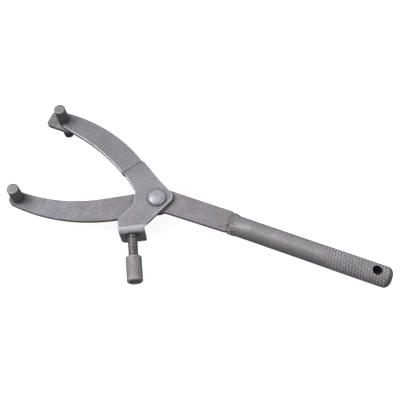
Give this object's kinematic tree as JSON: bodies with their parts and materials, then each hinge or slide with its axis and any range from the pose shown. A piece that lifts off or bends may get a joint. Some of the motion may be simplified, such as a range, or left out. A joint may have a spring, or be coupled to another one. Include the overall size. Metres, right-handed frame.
{
  "type": "adjustable pin spanner",
  "caption": "Adjustable pin wrench: two curved flat arms with end pins on a rivet pivot, a thumb screw that sets their spread, and a tube handle with a hang hole.",
  "frame": {"origin": "on the pivot axis, at the flat rear end of the rivet; the flat bar lies 5.6 to 9.6 mm above it", "axes": "+X along the handle from the pivot to the hang hole, arms towards -X; +Z along the front of the pins, towards the workpiece; the moving arm is on the +Y side and the thumb screw on the -Y side"},
  "size_m": [0.3205, 0.1243, 0.0404],
  "materials": {
    "bar_steel": "matt grey, bead-blasted",
    "arm_steel": "matt grey, bead-blasted",
    "pin_steel": "matt, turned",
    "rivet_steel": "satin, brighter than the plates",
    "washer_steel": "matt grey",
    "tip_steel": "matt grey, coarse milled face",
    "tube_steel": "matt grey, half of it knurled",
    "weld_steel": "rough weld bead",
    "stud_steel": "matt, threaded",
    "knob_steel": "matt, knurled",
    "pad_steel": "matt"
  },
  "bodies": {
    "handle_bar": {"fixed_arm": "bar_steel", "fixed_arm_pin": "pin_steel", "handle_tube": "tube_steel", "tube_weld": "weld_steel", "pivot_rivet": "rivet_steel", "rear_washer": "washer_steel"},
    "swing_arm": {"moving_arm": "arm_steel", "moving_arm_pin": "pin_steel", "tip_plate": "tip_steel"},
    "thrust_pad": {"screw_pad": "pad_steel"},
    "thumb_screw": {"screw_stud": "stud_steel", "screw_knob": "knob_steel"}
  },
  "joints": [
    {"name": "arm_pivot", "type": "hinge", "parent": "handle_bar", "child": "swing_arm", "pos_m": [0, 0, 0.0076], "axis": [0, 0, 1], "range_deg": [-12, 28]},
    {"name": "screw_travel", "type": "slide", "parent": "swing_arm", "child": "thrust_pad", "axis": [-0.4679, 0.8838, 0], "range_m": [-0.0049, 0.0113]},
    {"name": "screw_spin", "type": "hinge", "parent": "thrust_pad", "child": "thumb_screw", "pos_m": [-0.00248, -0.04451, 0.0041], "axis": [-0.4679, 0.8838, 0], "range_deg": [-1400, 3250]}
  ],
  "couplings": [
    {"joint": "screw_travel", "follows": "arm_pivot", "m_per_rad": 0.023},
    {"joint": "screw_spin", "follows": "arm_pivot", "ratio": 115.61}
  ]
}
